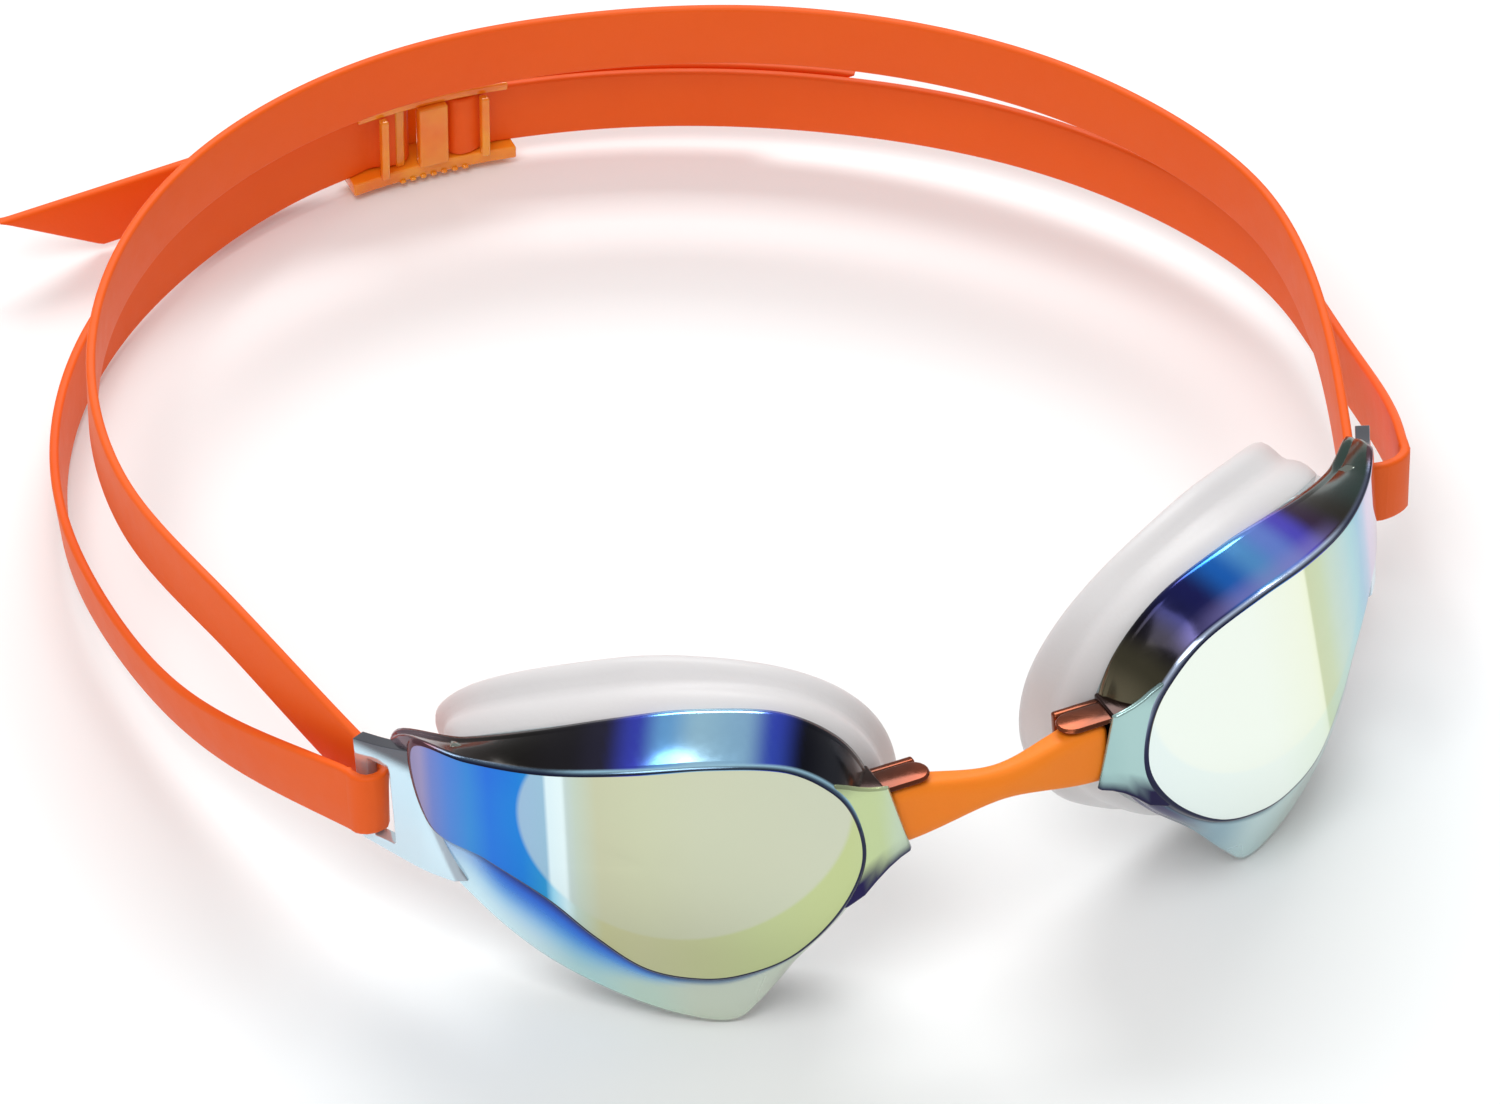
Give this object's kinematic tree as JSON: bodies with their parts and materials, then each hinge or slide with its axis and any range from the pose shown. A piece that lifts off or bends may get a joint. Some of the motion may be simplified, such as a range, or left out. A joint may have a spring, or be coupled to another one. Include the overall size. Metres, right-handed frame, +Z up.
{
  "type": "swim goggles",
  "caption": "Racing swim goggles with wrapped mirrored lenses, soft eye gaskets, a clip-in nose bridge and a split silicone strap that runs through a back buckle.",
  "frame": {"origin": "under the middle of the goggles, on the surface that they stand on", "axes": "+X is the wearer's left, +Y runs from the lenses to the back of the head, +Z is up"},
  "size_m": [0.1835, 0.1894, 0.0496],
  "materials": {
    "mirrored_lens": "mirror coated",
    "gasket_silicone": "translucent satin",
    "bridge_rubber": "matte",
    "strap_silicone": "satin",
    "buckle_plastic": "translucent gloss"
  },
  "bodies": {
    "front": {"left_lens": "mirrored_lens", "right_lens": "mirrored_lens", "left_gasket": "gasket_silicone", "right_gasket": "gasket_silicone", "left_strap_loop": "strap_silicone", "right_strap_loop": "strap_silicone"},
    "nose_bridge": {"nose_bridge": "bridge_rubber"},
    "upper_band": {"upper_strap_band": "strap_silicone"},
    "lower_band": {"lower_strap_band": "strap_silicone", "buckle": "buckle_plastic"}
  },
  "joints": [
    {"name": "bridge_release", "type": "slide", "parent": "front", "child": "nose_bridge", "axis": [0, -0.165, -0.9863], "range_m": [0, 0.013]},
    {"name": "upper_band_spread", "type": "hinge", "parent": "front", "child": "upper_band", "pos_m": [0, -0.04931, 0.02282], "axis": [1, 0, 0], "range_deg": [0, 22]},
    {"name": "lower_band_spread", "type": "hinge", "parent": "front", "child": "lower_band", "pos_m": [0, -0.04931, 0.02282], "axis": [1, 0, 0], "range_deg": [-20, 0]}
  ]
}
